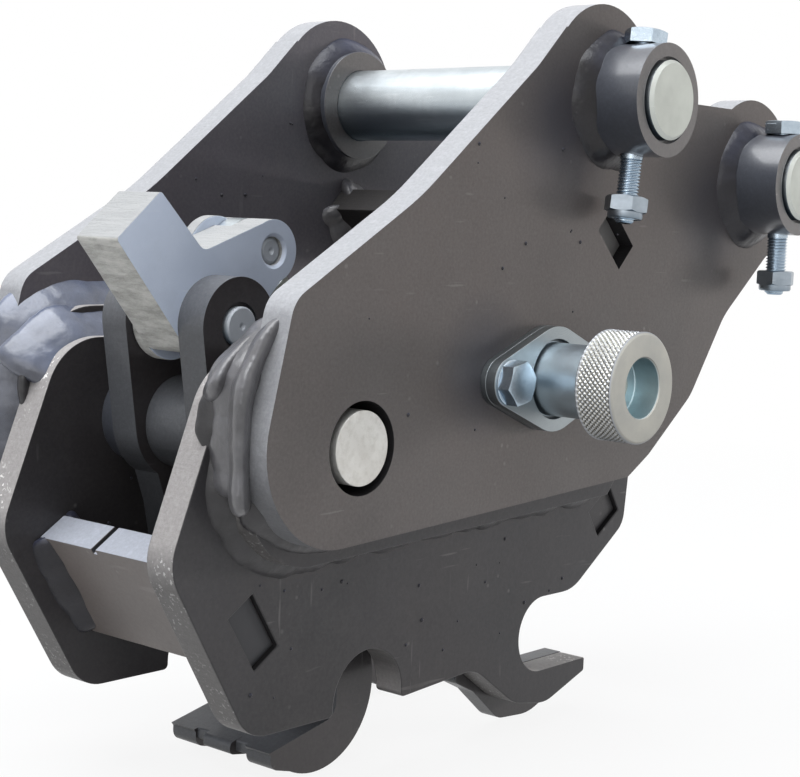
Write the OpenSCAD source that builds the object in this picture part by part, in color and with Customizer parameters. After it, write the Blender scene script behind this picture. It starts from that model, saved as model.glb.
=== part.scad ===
// Quick hitch that couples the stick and bucket link of a small excavator to a bucket's two pins.
// Millimetres, +Z up, +X from the stick pin towards the link pin, Y across the hitch.
// The origin is on the stick pin's axis, midway across.

/* [Machine pins] */
// Diameter of the stick and link pins
pin_d = 35; // [32:0.5:36]
// Distance between the stick and link pin centres
pin_spacing = 129; // [124:1:136]
// Angle of the line between the pins below level
pin_rake = 14.4; // [12:0.1:17]
// Free width between the inner collars
stick_w = 130; // [122:1:136]
// How far each pin's ends stand out of the bosses
pin_proud = 3; // [0.5:0.5:5]
// Stick pin ahead of the hook pivot
pivot_back = 161; // [157:1:166]
// Stick pin above the hook pivot
pivot_up = 146; // [143:1:152]

/* [Bucket pins] */
// Diameter of the bucket pins that the hitch picks up
bucket_pin_d = 35; // [33:0.5:36]
// Distance between the bucket pins' seats
bucket_pin_spacing = 123.8; // [122:0.2:128]
// Seat of the front bucket pin ahead of the hook pivot
seat_x = 42.8; // [41:0.1:45]
// Seat of the front bucket pin below the hook pivot
seat_drop = 110; // [108:0.5:112]
// How much wider than its pin the front arch is, on the radius
arch_clear = 4; // [3:0.25:5]
// How much wider than its pin the rear jaw is, on the radius
jaw_clear = 0.5; // [0.3:0.1:1.5]

/* [Plates] */
// Thickness of the side plates
plate_t = 15; // [12:0.5:16]
// Gap between the two lower plates
inner_gap = 88; // [86:1:92]
// Thickness of the tie plates
tie_t = 15; // [12:0.5:16]
// Thickness of the doublers inside the jaws
doubler_t = 10; // [8:0.5:11]
// Depth of a tenon's end below the plate's outer face
tenon_recess = 2.5; // [0:0.5:5]
// Depth of the upper tie's tenons below the same face
upper_recess = 7; // [2:0.5:9]
// Clearance round a tenon in its mortise
tenon_clear = 0.1; // [0.05:0.05:0.3]

/* [Bosses and collars] */
// Outer diameter of the bosses
boss_od = 50; // [47:0.5:54]
// Length of an outer boss
boss_len = 28.6; // [26:0.2:34]
// Outer diameter of the inner collars
collar_od = 54; // [48:0.5:56]
// Extra radius of a boss's mouth round its pin
mouth_clear = 1.4; // [0.5:0.1:3]
// Depth of a boss's mouth
mouth_depth = 3; // [1:0.5:5]
// Clearance on the radius between a pin and its bore
pin_clear = 0.1; // [0.05:0.05:0.3]

/* [Retaining bolts] */
// Thread diameter of the retaining bolts
bolt_d = 10; // [8:0.5:11]
// Across flats of the bolt heads and nuts
bolt_af = 17; // [15:0.5:19]
// Height of a bolt head
bolt_head_h = 6.4; // [5:0.2:8]
// Height of a lock nut
nut_h = 10; // [8:0.5:12]
// Axis of the stick pin's bolt from the upper plate's outer face
stick_bolt_out = 13; // [12:0.5:16]
// Axis of the link pin's bolt from the same face
link_bolt_out = 17.5; // [14:0.5:19]
// Bare thread between the boss and its nut
bolt_drop = 18; // [6:1:24]
// Lean of the stick pin's bolt
bolt_lean = 7; // [0:1:12]

/* [Hook] */
// Width over both hook cheeks
hook_w = 62; // [60:0.5:66]
// Thickness of a hook cheek
cheek_t = 15; // [14:0.25:15.5]
// Diameter of the pivot pin
pivot_d = 30; // [26:0.5:32]
// Running clearance on the radius round the pivot pin
run_clear = 0.05; // [0.02:0.01:0.08]
// Clearance on the radius round the pivot pin's end in the outer plates
end_clear = 3.75; // [2:0.25:5]
// Side clearance between moving faces
side_clear = 0.4; // [0.3:0.05:0.6]
// Outer diameter of the hub
hub_od = 50; // [48:0.5:54]
// Outer diameter of the rings outside the cheeks
ring_od = 41; // [38:0.5:50]
// Outer diameter of the tube between the cheeks
tube_od = 40; // [38:0.5:42]
// Opening angle of the hook
hook_swing = 24; // [20:1:26]
// How far the empty hook closes past the seated pin
over_close = 4; // [2:0.5:5]
// Wall of the hook round its pin
hook_wall = 17.8; // [15:0.1:19]
// Thickness of the web across the toe
toe_web_t = 5; // [4:0.5:7]
// Width of the middle lobe of the toe
toe_lobe_w = 17; // [14:0.5:20]

/* [Lever] */
// Thickness of the lever block
lever_t = 25; // [24.5:0.25:26]
// Thickness of the near ear
ear_t = 15; // [12:0.5:15.5]
// Radius of the ears
ear_r = 13.4; // [12:0.2:15]
// Diameter of the pin that holds the lever in the cheeks
lever_pin_d = 16; // [14:0.5:18]
// Diameter of the clevis pin in the ears
clevis_pin_d = 12; // [10:0.5:13]
// Depth of the clevis pin's ends below their faces
pin_sink = 1.75; // [0.5:0.25:2]
// How far the lever pin's ends stand out of the cheeks
lever_pin_proud = 1.5; // [0.5:0.25:3]
// Depth of the recess round the lever pin's ends
ring_depth = 2; // [1:0.25:3]

/* [Closing strut] */
// Outer diameter of the strut's cylinder
strut_od = 23; // [20:0.5:24]
// Diameter of the strut's rod
rod_d = 9; // [7:0.5:9.2]
// Diameter of the anchor stud
stud_d = 16; // [14:0.5:18]
// Thickness of the eye on the anchor stud
strut_eye_t = 16; // [12:0.5:18]
// Extra radius of the rod eye's hole round the clevis pin
eye_slack = 0.75; // [0.7:0.05:1]

/* [Lock plunger] */
// Plunger axis ahead of the hook pivot
lock_x = 115.6; // [113:0.2:118]
// Plunger axis above the hook pivot
lock_z = 22.8; // [21:0.2:24]
// Diameter of the plunger's nose
nose_d = 20; // [18:0.5:21]
// Clearance on the radius of the tail's lock hole
lock_clear = 0.5; // [0.3:0.1:1]
// Outer diameter of the pull knob
knob_d = 47.5; // [44:0.5:52]
// Length of the pull knob
knob_len = 18.7; // [17.5:0.1:22]
// Depth of the knob's counterbore
knob_bore_depth = 12.5; // [9:0.5:13]
// Outer diameter of the barrel
barrel_d = 32; // [29:0.5:34]
// Barrel length in front of its flange
barrel_len = 25; // [21:0.5:28]
// Thickness of the barrel's flange
flange_t = 5; // [4:0.5:7]
// Thickness of the pad under the flange
pad_t = 3; // [2:0.5:8]
// Radius of the flange round the barrel
flange_r = 23; // [21.5:0.5:24]
// Spacing of the flange bolts
flange_pitch = 66; // [62:0.5:68]
// Across flats of the flange bolts' heads
flange_af = 17; // [13:0.5:17.5]
// Height of the flange bolts' heads
flange_head_h = 7; // [4:0.5:8]
// Pull stroke of the plunger
plunger_stroke = 12; // [10:0.5:13]

/* [Hidden] */
$fn = 96;

// ---- colours
paint = [0.20, 0.17, 0.16];
paint_cool = [0.16, 0.17, 0.18];
zinc = [0.72, 0.76, 0.82];
bare = [0.60, 0.62, 0.65];

// ---- places in the side view, from the hook pivot
P = [0, 0];
stick = [pivot_back, pivot_up];
link = stick + pin_spacing * [cos(pin_rake), -sin(pin_rake)];
seat = [seat_x, -seat_drop];
arch_r = bucket_pin_d / 2 + arch_clear;
arch = seat + [0, -arch_clear];
jaw_r = bucket_pin_d / 2 + jaw_clear;
jaw = seat + bucket_pin_spacing * [cos(2.27), sin(2.27)];
cradle_r = bucket_pin_d / 2 + 1;
cradle = turn(seat, -over_close);
hook_c = cradle + [5.8, -3.6];
hook_r = cradle_r + hook_wall - 0.5;
toe = cradle + [-21.4, -25.2];
lock = [lock_x, lock_z];
lock_hole = turn(lock, -over_close);
lever_at = [-12, 44];
clevis = [21, 74];
anchor = [75, 15];
strut_dir = unit(clevis - anchor);
strut_len = norm(clevis - anchor);
front_tie_at = [-26.6, -74.6];
rear_tie_at = jaw + [47.5, 54.6];
upper_tie_at = stick + [7, -61.4];

// ---- places across the hitch, from the middle
y_low = inner_gap / 2;
y_spacer = y_low + plate_t;
y_upper = y_spacer + plate_t;
y_out = y_upper + plate_t;
y_hook = hook_w / 2;
y_cheek = y_hook - cheek_t;
y_slot0 = -y_cheek + ear_t;
y_slot1 = -y_cheek + lever_t;
y_strut = (y_slot0 + y_slot1) / 2;
side_plate_t = 2 * y_cheek - lever_t - 0.3;
bottom_z = seat[1] - 8;
low_top = 45;
spacer_top = 47;

// ---- helpers
function unit(v) = v / norm(v);
function turn(p, a) = [p[0] * cos(a) - p[1] * sin(a), p[0] * sin(a) + p[1] * cos(a)];
function xy(v) = [v[0], v[1]];
function at(p, off, r = 0) = [p[0] + off[0], p[1] + off[1], r];
function half(a, b, c) = acos(unit(a - b) * unit(c - b)) / 2;
function cross2(a, b, c) = (b[0] - a[0]) * (c[1] - b[1]) - (b[1] - a[1]) * (c[0] - b[0]);
function reach(a, b, c, r) = r / tan(half(a, b, c));
function heart(a, b, c, r) = b + unit(unit(a - b) + unit(c - b)) * r / sin(half(a, b, c));

// How far an arc runs past the line that it blends into
seam = 0.003;
// A closed outline, anticlockwise, whose corners [x, z, r] are rounded with true arcs
module rounded(p) {
  n = len(p);
  function v(i) = xy(p[(i + n) % n]);
  difference() {
    union() {
      polygon([for (i = [0:n - 1]) let (r = p[i][2], a = v(i - 1), b = v(i), c = v(i + 1))
        each (r > 0 ? [b + unit(a - b) * reach(a, b, c, r), b + unit(c - b) * reach(a, b, c, r)] : [b])]);
      for (i = [0:n - 1]) if (p[i][2] > 0 && cross2(v(i - 1), v(i), v(i + 1)) > 0)
        translate(heart(v(i - 1), v(i), v(i + 1), p[i][2])) circle(p[i][2] + seam);
    }
    for (i = [0:n - 1]) if (p[i][2] > 0 && cross2(v(i - 1), v(i), v(i + 1)) < 0)
      translate(heart(v(i - 1), v(i), v(i + 1), p[i][2])) circle(p[i][2] + seam);
  }
}

// Two discs and the straight flanks that touch both
function flank(a, ra, b, rb, s) = atan2(b[1] - a[1], b[0] - a[0]) + s * acos((ra - rb) / norm(b - a));
function polar(c, r, t) = c + r * [cos(t), sin(t)];
function touch(c, r, a, ra, b, rb, s) = polar(c, r - seam, flank(a, ra, b, rb, s));
module bar(a, ra, b, rb) {
  translate(a) circle(ra);
  translate(b) circle(rb);
  polygon([touch(a, ra, a, ra, b, rb, -1), touch(b, rb, a, ra, b, rb, -1),
           touch(b, rb, a, ra, b, rb, 1), touch(a, ra, a, ra, b, rb, 1)]);
}

// Raises a side-view shape into a plate from y0 to y1
module slab(y0, y1) translate([0, y1, 0]) rotate([90, 0, 0]) linear_extrude(y1 - y0) children();
module far() mirror([0, 1, 0]) children();
// A shaft or ring along Y at p
module round_y(p, d, y0, y1) translate([p[0], y1, p[1]]) rotate([90, 0, 0]) cylinder(d = d, h = y1 - y0);
module ring_y(p, od, id, y0, y1) difference() {
  round_y(p, od, y0, y1);
  round_y(p, id, y0 - 1, y1 + 1);
}
// A rectangle with its long side along angle a
module block2(p, a, l, t) translate(p) rotate(a) square([l, t], center = true);
module hex(af, h) cylinder(d = af / cos(30), h = h, $fn = 6);
// Everything is drawn from the hook pivot and set down with the stick pin at the origin
module place() translate([-stick[0], 0, -stick[1]]) children();

// ---- side plates
module upper_outline() {
  rounded([
    [-63.8, -41.5, 40.5], [188, -27.5, 5], [205, -18, 30], [240, 8.5, 30], [268, 47.5, 40],
    at(link, [20, -36.9]), at(link, [0, 0]), at(link, [-21.5, 36]), at(stick, [33, 4]), at(stick, [0, 0]),
    at(stick, [-38.6, 29.3]), at(stick, [-58, 10.5], 60), [30, 98.9, 150], [-40, 58.2, 14]]);
  translate(stick + [-8, 1]) circle(41);
  translate(link) circle(42);
}
module upper_plate() color(paint) slab(-y_out, -y_upper) difference() {
  upper_outline();
  translate(stick) circle(d = pin_d + 2 * pin_clear);
  translate(link) circle(d = pin_d + 2 * pin_clear);
  circle(d = pivot_d + 2 * end_clear);
  upper_tie_hole();
}
module upper_tie_hole() block2(upper_tie_at, -44.5, 25 + 2 * tenon_clear, tie_t + 2 * tenon_clear);

module spacer_outline() rounded([
  [-47, -49.5, 36], [194, -38.6, 4], [216, -12, 10], [165, spacer_top, 20], [-48, spacer_top, 34]]);
module spacer() color(paint) slab(-y_upper, -y_spacer) difference() {
  spacer_outline();
  circle(d = pivot_d + 2 * end_clear);
}

module lower_outline() difference() {
  rounded([
    [-72, -44.6, 20], [-28, bottom_z, 20], at([arch[0], bottom_z], [-arch_r, 0], 2.5),
    at(arch, [-arch_r, 0]), at(arch, [arch_r, 0]), at([arch[0], bottom_z], [arch_r, 0.5], 2.5),
    at([arch[0], bottom_z], [73.2, 4], 20), at(jaw, [-19.5, -30.7], 30), at(jaw, [5.5, -34.9], 22),
    at(jaw, [36.8, -24.2], 1.5), at(jaw, [36.8, 5 - jaw_r]), at(jaw, [5, 5 - jaw_r]), at(jaw, [5, jaw_r]),
    at(jaw, [24, jaw_r], 25), at(jaw, [65.5, 46.3], 12), [236, -22, 14], [150, low_top, 30],
    [32, low_top, 14], [12, 34.5, 14], [-41.7, 34.5, 28]]);
  translate(arch) circle(arch_r);
  translate(jaw) circle(jaw_r);
  translate(jaw) polygon([[0, -jaw_r], [60, -jaw_r + 0.5], [60, jaw_r], [0, jaw_r]]);
}
module lower_plate() color(paint_cool) slab(-y_spacer, -y_low) difference() {
  lower_outline();
  circle(d = pivot_d);
  block2(front_tie_at, -57, 27 + 2 * tenon_clear, tie_t + 2 * tenon_clear);
  block2(rear_tie_at, 34, 20 + 2 * tenon_clear, tie_t + 2 * tenon_clear);
}
// The plunger's way through one near plate
module lock_way(y0, y1) difference() {
  children();
  round_y(lock, nose_d + 2 * lock_clear, y0 - 1, y1 + 1);
}
module upper_plate_near() place() lock_way(-y_out, -y_upper) difference() {
  upper_plate();
  for (s = [-1, 1]) round_y(lock + [s * flange_pitch / 2, 0], 8.5, -y_out - 1, -y_upper + 1);
}
module upper_plate_far() place() far() upper_plate();
module spacer_near() place() lock_way(-y_upper, -y_spacer) spacer();
module spacer_far() place() far() spacer();
module lower_plate_near() place() lock_way(-y_spacer, -y_low) lower_plate();
module lower_plate_far() place() difference() {
  far() lower_plate();
  round_y(anchor, stud_d, y_low - 1, y_spacer + 1);
}

// ---- tie plates, each with a tenon at both ends
module tie(p, a, w, l, y, shift = 0, recess = tenon_recess) {
  slab(-y, y) translate(p) rotate(a) translate([shift, 0]) square([w, tie_t], center = true);
  slab(-y - plate_t + recess, y + plate_t - recess) block2(p, a, l, tie_t);
}
module front_tie() place() color(paint_cool) difference() {
  tie(front_tie_at, -57, 53, 27, y_low, -9);
  slab(8, 10.5) translate(front_tie_at) rotate(-57) translate([-35.5, 0]) square([5, 30], center = true);
}
module rear_tie() place() color(paint_cool) tie(rear_tie_at, 34, 34, 20, y_low);
module upper_tie() place() color(paint) tie(upper_tie_at, -44.5, 40, 25, y_upper, 0, upper_recess);

// The doubler inside each jaw, which the rear pin also bears on
module jaw_doubler() color(paint_cool) slab(-y_low, -y_low + doubler_t) difference() {
  rounded([at(jaw, [-46, -19], 3), at(jaw, [-32, -25.8], 6), at(jaw, [-12, -42.6], 12), at(jaw, [12, -44.4], 30),
           at(jaw, [32, -37], 8), at(jaw, [23.5, 5 - jaw_r]), at(jaw, [5, 5 - jaw_r]), at(jaw, [5, jaw_r + 2]),
           at(jaw, [20, jaw_r + 4], 4), at(jaw, [8, jaw_r + 22], 14), at(jaw, [-40, jaw_r + 12], 14)]);
  translate(jaw) circle(jaw_r);
  translate(jaw) polygon([[0, -jaw_r], [60, -jaw_r + 0.5], [60, jaw_r], [0, jaw_r]]);
}
module jaw_doubler_near() place() jaw_doubler();
module jaw_doubler_far() place() far() jaw_doubler();

// ---- bosses, collars and pins
bore_d = pin_d + 2 * pin_clear;
y_boss = y_out + boss_len;
module bolt_axis(p, out, lean) translate([p[0], -y_out - out, p[1]]) rotate([0, lean, 0]) children();
module bolt_hole(p, out, lean) bolt_axis(p, out, lean) translate([0, 0, -boss_od]) cylinder(d = bolt_d + 1, h = 2 * boss_od);
module boss(p) color(bare) difference() {
  ring_y(p, boss_od, bore_d, -y_boss, -y_out);
  round_y(p, bore_d + 2 * mouth_clear, -y_boss - 1, -y_boss + mouth_depth);
}
module stick_boss_near() place() difference() { boss(stick); bolt_hole(stick, stick_bolt_out, bolt_lean); }
module link_boss_near() place() difference() { boss(link); bolt_hole(link, link_bolt_out, 0); }
module stick_boss_far() place() far() boss(stick);
module link_boss_far() place() far() boss(link);
module collar(p) color(bare) ring_y(p, collar_od, bore_d, -y_upper, -stick_w / 2);
module stick_collar_near() place() collar(stick);
module link_collar_near() place() collar(link);
module stick_collar_far() place() far() collar(stick);
module link_collar_far() place() far() collar(link);
module machine_pin(p, out, lean) color(zinc) difference() {
  translate([p[0], 0, p[1]]) rotate([90, 0, 0]) rotate_extrude() polygon([
    [0, -y_boss - pin_proud], [pin_d / 2 - 1.5, -y_boss - pin_proud], [pin_d / 2, -y_boss - pin_proud + 1.5],
    [pin_d / 2, y_boss + pin_proud - 1.5], [pin_d / 2 - 1.5, y_boss + pin_proud], [0, y_boss + pin_proud]]);
  bolt_hole(p, out, lean);
}
module stick_pin() place() machine_pin(stick, stick_bolt_out, bolt_lean);
module link_pin() place() machine_pin(link, link_bolt_out, 0);

// ---- retaining bolts and nuts, through the near bosses
module retaining_bolt(p, out, lean) color(zinc) bolt_axis(p, out, lean) {
  translate([0, 0, boss_od / 2]) hex(bolt_af, bolt_head_h);
  translate([0, 0, -boss_od / 2 - bolt_drop - nut_h - 2]) cylinder(d = bolt_d, h = boss_od + bolt_drop + nut_h + 2.5);
}
module retaining_nut(p, out, lean) color(zinc) bolt_axis(p, out, lean)
  translate([0, 0, -boss_od / 2 - bolt_drop - nut_h]) difference() {
    union() {
      translate([0, 0, nut_h * 0.3]) hex(bolt_af, nut_h * 0.7);
      cylinder(d = bolt_af - 1, h = nut_h * 0.3);
    }
    translate([0, 0, -1]) cylinder(d = bolt_d, h = nut_h + 2);
  }
module stick_bolt() place() retaining_bolt(stick, stick_bolt_out, bolt_lean);
module link_bolt() place() retaining_bolt(link, link_bolt_out, 0);
module stick_nut() place() retaining_nut(stick, stick_bolt_out, bolt_lean);
module link_nut() place() retaining_nut(link, link_bolt_out, 0);

// ---- hook pivot
module pivot_pin() place() color(bare) round_y(P, pivot_d, -y_out, y_out);
module pivot_ring() color(bare) ring_y(P, ring_od, pivot_d, -y_low, -y_hook - side_clear);
module pivot_ring_near() place() pivot_ring();
module pivot_ring_far() place() far() pivot_ring();

// ---- hook
module hook_outline() difference() {
  union() {
    bar(P, hub_od / 2, lever_at, 20);
    translate(hook_c) circle(hook_r);
    polygon([[-13, -20], [-7, -36], [-3.5, -52], [9, cradle[1] + 21.5], cradle + [0, cradle_r],
             cradle + [cradle_r, 0], hook_c, touch(hook_c, hook_r, P, hub_od / 2, hook_c, hook_r, 1),
             touch(P, hub_od / 2, P, hub_od / 2, hook_c, hook_r, 1), [0, 0]]);
    rounded([at(toe, [0, -7.6], 5), at(toe, [22.5, -13.5]), at(hook_c, [0, 0]), at(toe, [8, 1.9]), at(toe, [0, 0], 2.5)]);
  }
  translate(cradle) circle(cradle_r);
  rounded([at(toe, [-30, -6]), at(toe, [0, 0]), at(cradle, [cradle_r, -16.5], 8), at(cradle, [cradle_r, 1]),
           at(cradle, [0, cradle_r - 0.5]), [9, cradle[1] + 21.5, 0], [-25, cradle[1] + 21.5, 0]]);
}
module tail_outline() difference() {
  bar(P, hub_od / 2, lock_hole, nose_d);
  translate(lock_hole) circle(d = nose_d + 2 * lock_clear);
}
module cheek() color(paint_cool) difference() {
  slab(-y_hook, -y_cheek) difference() {
    union() { hook_outline(); children(); }
    circle(d = pivot_d + 2 * run_clear);
    translate(lever_at) circle(d = lever_pin_d);
  }
  round_y(lever_at, lever_pin_d + 3.5, -y_hook - 1, -y_hook + ring_depth);
}
module hook_cheek_near() place() cheek() tail_outline();
module hook_cheek_far() place() far() cheek();
module hook_tube() place() color(paint_cool) ring_y(P, tube_od, pivot_d + 2 * run_clear, -y_cheek, y_cheek);
module toe_block() place() color(paint_cool) {
  slab(-y_cheek, y_cheek) rounded([at(toe, [1, -toe_web_t], 1), at(cradle, [cradle_r + 4, -16.5 - toe_web_t]),
    at(cradle, [cradle_r + 4, -15.6]), at(toe, [1, 0.2], 1)]);
  slab(-toe_lobe_w / 2, toe_lobe_w / 2) rounded([at(toe, [-2.5, -5.6], 2.5), at(toe, [30, -11]),
    at(cradle, [cradle_r - 2, -16.9]), at(toe, [-2.5, -0.5], 2.5)]);
}

// ---- lever
module lever_outline() {
  rounded([[-64.3, 77.6, 1.5], [-24, 30.4, 10], [4, 38.2, 12], at(clevis, [4.5, -12.6], 2), at(clevis, [0, 0]),
           at(clevis, [-4.3, 12.5]), [-18.8, 73.6, 5], [-42.4, 96.9, 1.5]]);
  translate(clevis) circle(ear_r);
}
module lever_block() place() color([0.62, 0.66, 0.70]) difference() {
  slab(-y_cheek, y_slot1) difference() {
    lever_outline();
    translate(lever_at) circle(d = lever_pin_d);
  }
  slab(y_slot0, y_slot1 + 1) {
    translate(clevis) circle(ear_r + 1.6);
    for (a = [0, hook_swing / 2]) translate(clevis)
      rotate(atan2(-strut_dir[1], -strut_dir[0]) - a) translate([0, -rod_d / 2 - 2]) square([40, rod_d + 4]);
  }
  round_y(clevis, clevis_pin_d, -y_cheek - 1, y_slot1 + 1);
  translate([clevis[0], 2 - y_cheek, clevis[1]]) rotate([90, 0, 0])
    cylinder(r1 = clevis_pin_d / 2 - 0.5, r2 = clevis_pin_d / 2 + 2, h = 2.5);
}
module lever_side_plate() place() color([0.60, 0.64, 0.68]) slab(y_slot1, y_slot1 + side_plate_t) difference() {
  union() {
    bar(lever_at, 17, clevis + [-9, -2], ear_r + 2.6);
    translate(clevis) circle(ear_r);
  }
  translate(lever_at) circle(d = lever_pin_d);
  translate(clevis) circle(d = clevis_pin_d);
}
module lever_pin() place() color(bare) round_y(lever_at, lever_pin_d, -y_hook - lever_pin_proud, y_hook + lever_pin_proud);
module clevis_pin() place() color(bare) round_y(clevis, clevis_pin_d, -y_cheek + pin_sink, y_slot1 + side_plate_t - pin_sink);

// ---- closing strut, on a stud that stands out of the far lower plate
y_eye0 = y_strut - strut_eye_t / 2;
y_eye1 = y_strut + strut_eye_t / 2;
sleeve_od = stud_d + 10;
tube_end = strut_len - ear_r - 6.5;
module along(s) translate([anchor[0], y_strut, anchor[1]]) rotate([0, atan2(strut_dir[0], strut_dir[1]), 0]) translate([0, 0, s]) children();
module anchor_stud() place() color(bare) {
  round_y(anchor, stud_d, y_eye0 - side_clear - 1, y_spacer);
  round_y(anchor, stud_d + 8, y_eye0 - side_clear - 3.5, y_eye0 - side_clear);
}
module anchor_sleeve() place() color(paint_cool) ring_y(anchor, sleeve_od, stud_d, y_eye1 + side_clear, y_low);
module strut_cylinder() place() color([0.1, 0.1, 0.11]) difference() {
  union() {
    round_y(anchor, stud_d + 13, y_eye0, y_eye1);
    along(0) cylinder(d = strut_eye_t, h = stud_d);
    along(stud_d * 0.9) cylinder(d = strut_od, h = tube_end - 8 - stud_d * 0.9);
  }
  round_y(anchor, stud_d + 2 * run_clear, y_eye0 - 1, y_eye1 + 1);
  along(stud_d + 1) cylinder(d = rod_d + 2 * run_clear, h = tube_end);
}
module strut_gland() place() color(zinc) difference() {
  along(tube_end - 8) union() { hex(strut_od - 3, 8); cylinder(d = strut_od - 2.5, h = 3); }
  along(tube_end - 10) cylinder(d = rod_d + 2 * run_clear, h = 12);
}
module strut_rod() place() color(zinc) difference() {
  union() {
    along(stud_d + 2) cylinder(d = rod_d, h = strut_len - ear_r - stud_d);
    slab(y_slot0 + side_clear, y_slot1 - side_clear) {
      translate(clevis) circle(ear_r);
      translate(clevis) rotate(atan2(-strut_dir[1], -strut_dir[0])) translate([0, -rod_d / 2]) square([ear_r + 2.5, rod_d]);
    }
  }
  round_y(clevis, clevis_pin_d + 2 * eye_slack, y_slot0, y_slot1);
}

// ---- lock plunger on the near side
y_pad = -y_out - pad_t;
y_flange = y_pad - flange_t;
y_barrel = y_flange - barrel_len;
y_knob = y_barrel - 0.8;
knob_floor = knob_len - knob_bore_depth;
lobe_r = 10.5;
module flange_outline() {
  bar(lock, flange_r, lock + [flange_pitch / 2, 0], lobe_r);
  bar(lock, flange_r, lock - [flange_pitch / 2, 0], lobe_r);
}
module lock_pad() place() color(paint) slab(y_pad, -y_out) difference() {
  flange_outline();
  translate(lock) circle(d = nose_d + 2 * lock_clear);
  for (s = [-1, 1]) translate(lock + [s * flange_pitch / 2, 0]) circle(d = 8.5);
}
module lock_barrel() place() color(zinc) difference() {
  union() {
    slab(y_flange, y_pad) flange_outline();
    round_y(lock, barrel_d, y_barrel, y_flange);
  }
  ring_y(lock, barrel_d + 3, barrel_d, y_flange - 1, y_flange + flange_t / 2);
  round_y(lock, nose_d + 2 * run_clear, y_barrel + 4, y_pad + 1);
  round_y(lock, nose_d * 0.6 + 2 * run_clear, y_barrel - 1, y_barrel + 5);
  for (s = [-1, 1]) round_y(lock + [s * flange_pitch / 2, 0], 8.5, y_flange - 1, y_pad + 1);
}
module flange_bolt(s) color(zinc) translate([lock[0] + s * flange_pitch / 2, y_flange, lock[1]]) rotate([90, 0, 0]) {
  hex(flange_af, flange_head_h);
  translate([0, 0, -flange_t - pad_t - plate_t + 1]) cylinder(d = 8, h = flange_t + pad_t + plate_t);
}
module flange_bolt_front() place() flange_bolt(-1);
module flange_bolt_rear() place() flange_bolt(1);
module plunger() place() color(zinc) {
  round_y(lock, nose_d, y_barrel + 4.5 + plunger_stroke, -y_hook - side_clear);
  round_y(lock, nose_d * 0.6, y_knob - knob_floor - 1, y_barrel + 5 + plunger_stroke);
}
module pull_knob() place() color(zinc) translate([lock[0], y_knob, lock[1]]) rotate([90, 0, 0]) difference() {
  rotate_extrude() polygon([
    [nose_d * 0.3, 4], [barrel_d / 2 + 0.6, 4], [barrel_d / 2 + 0.6, 0], [knob_d / 2 - 1, 0], [knob_d / 2, 1],
    [knob_d / 2, knob_len - 0.6], [knob_d / 2 - 0.6, knob_len], [13.3, knob_len], [12.8, knob_len - 0.5],
    [12.8, knob_floor], [nose_d * 0.3, knob_floor]]);
}

upper_plate_near();
upper_plate_far();
spacer_near();
spacer_far();
lower_plate_near();
lower_plate_far();
front_tie();
rear_tie();
upper_tie();
jaw_doubler_near();
jaw_doubler_far();
stick_boss_near();
stick_boss_far();
link_boss_near();
link_boss_far();
stick_collar_near();
stick_collar_far();
link_collar_near();
link_collar_far();
stick_pin();
link_pin();
stick_bolt();
link_bolt();
stick_nut();
link_nut();
pivot_pin();
pivot_ring_near();
pivot_ring_far();
anchor_stud();
anchor_sleeve();
lock_pad();
lock_barrel();
flange_bolt_front();
flange_bolt_rear();
hook_cheek_near();
hook_cheek_far();
hook_tube();
toe_block();
lever_pin();
lever_block();
lever_side_plate();
clevis_pin();
strut_cylinder();
strut_gland();
strut_rod();
plunger();
pull_knob();
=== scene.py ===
import math
import random

import bmesh
import bpy
from mathutils import Matrix, Vector, noise


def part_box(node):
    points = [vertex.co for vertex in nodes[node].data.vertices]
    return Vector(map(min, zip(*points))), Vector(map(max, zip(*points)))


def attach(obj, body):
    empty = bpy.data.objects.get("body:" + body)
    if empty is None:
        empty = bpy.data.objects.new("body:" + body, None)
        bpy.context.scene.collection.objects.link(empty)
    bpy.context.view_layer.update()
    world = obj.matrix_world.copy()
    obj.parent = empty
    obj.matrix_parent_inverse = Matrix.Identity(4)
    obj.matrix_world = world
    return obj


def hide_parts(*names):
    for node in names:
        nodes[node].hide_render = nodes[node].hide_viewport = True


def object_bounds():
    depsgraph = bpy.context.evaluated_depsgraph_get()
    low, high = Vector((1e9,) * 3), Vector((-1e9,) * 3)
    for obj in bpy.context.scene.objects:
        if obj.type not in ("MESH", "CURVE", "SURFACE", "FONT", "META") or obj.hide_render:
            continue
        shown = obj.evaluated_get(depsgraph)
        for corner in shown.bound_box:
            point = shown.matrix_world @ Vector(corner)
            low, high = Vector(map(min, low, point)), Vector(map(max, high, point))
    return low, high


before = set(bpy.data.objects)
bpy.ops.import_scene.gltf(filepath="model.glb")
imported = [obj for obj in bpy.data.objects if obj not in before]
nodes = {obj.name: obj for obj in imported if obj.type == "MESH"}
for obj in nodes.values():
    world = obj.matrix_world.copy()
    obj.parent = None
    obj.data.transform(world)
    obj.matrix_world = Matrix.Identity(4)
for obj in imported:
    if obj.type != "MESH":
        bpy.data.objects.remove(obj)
cad_box = [list(map(float, corner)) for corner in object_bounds()]
scene = bpy.context.scene
MM = 0.001

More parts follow.
